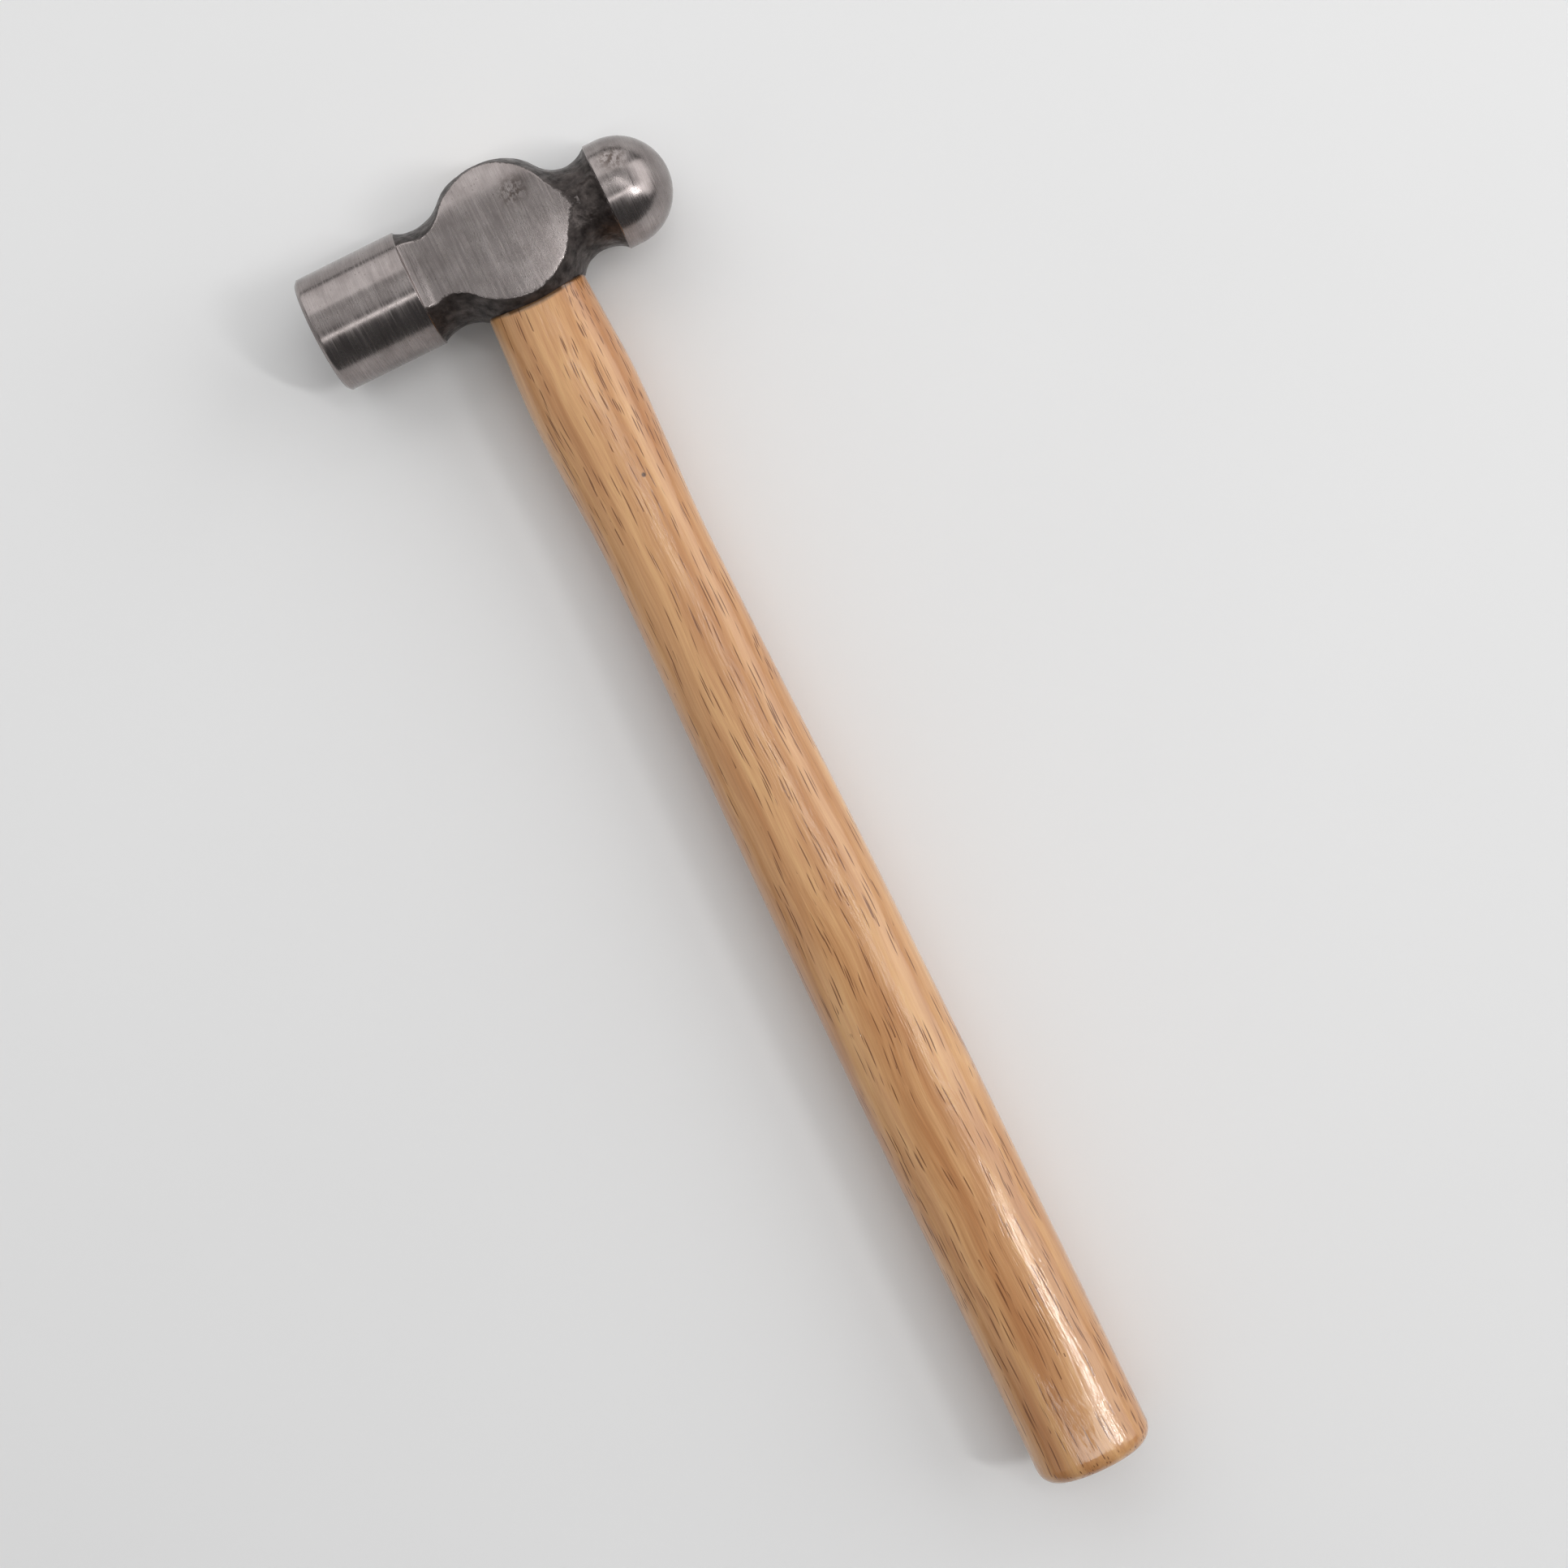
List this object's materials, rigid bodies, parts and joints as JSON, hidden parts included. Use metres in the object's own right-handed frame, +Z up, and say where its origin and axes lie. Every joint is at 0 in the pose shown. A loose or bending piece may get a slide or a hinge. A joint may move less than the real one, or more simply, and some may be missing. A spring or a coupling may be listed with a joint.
{
  "type": "ball peen hammer",
  "caption": "Ball peen hammer: steel head with a round flat face, round eye block with ground cheeks and a half-ball peen, wedged on an oval lacquered hardwood handle.",
  "frame": {"origin": "under the middle of the whole hammer's box, on the surface it lies on", "axes": "+X along the head from the striking face towards the ball; +Y along the handle from the butt towards the head; +Z up, square to the ground cheek, with the hammer lying on its side"},
  "size_m": [0.0962, 0.3574, 0.03],
  "materials": {
    "head_steel": "satin, ground where it works and black forged at the necks",
    "handle_wood": "clear lacquer",
    "wedge_wood": "bare, sawn",
    "wedge_steel": "dull"
  },
  "bodies": {
    "root": {"head": "head_steel", "handle": "handle_wood", "wood_wedge": "wedge_wood", "steel_wedge_1": "wedge_steel", "steel_wedge_2": "wedge_steel"}
  },
  "joints": []
}
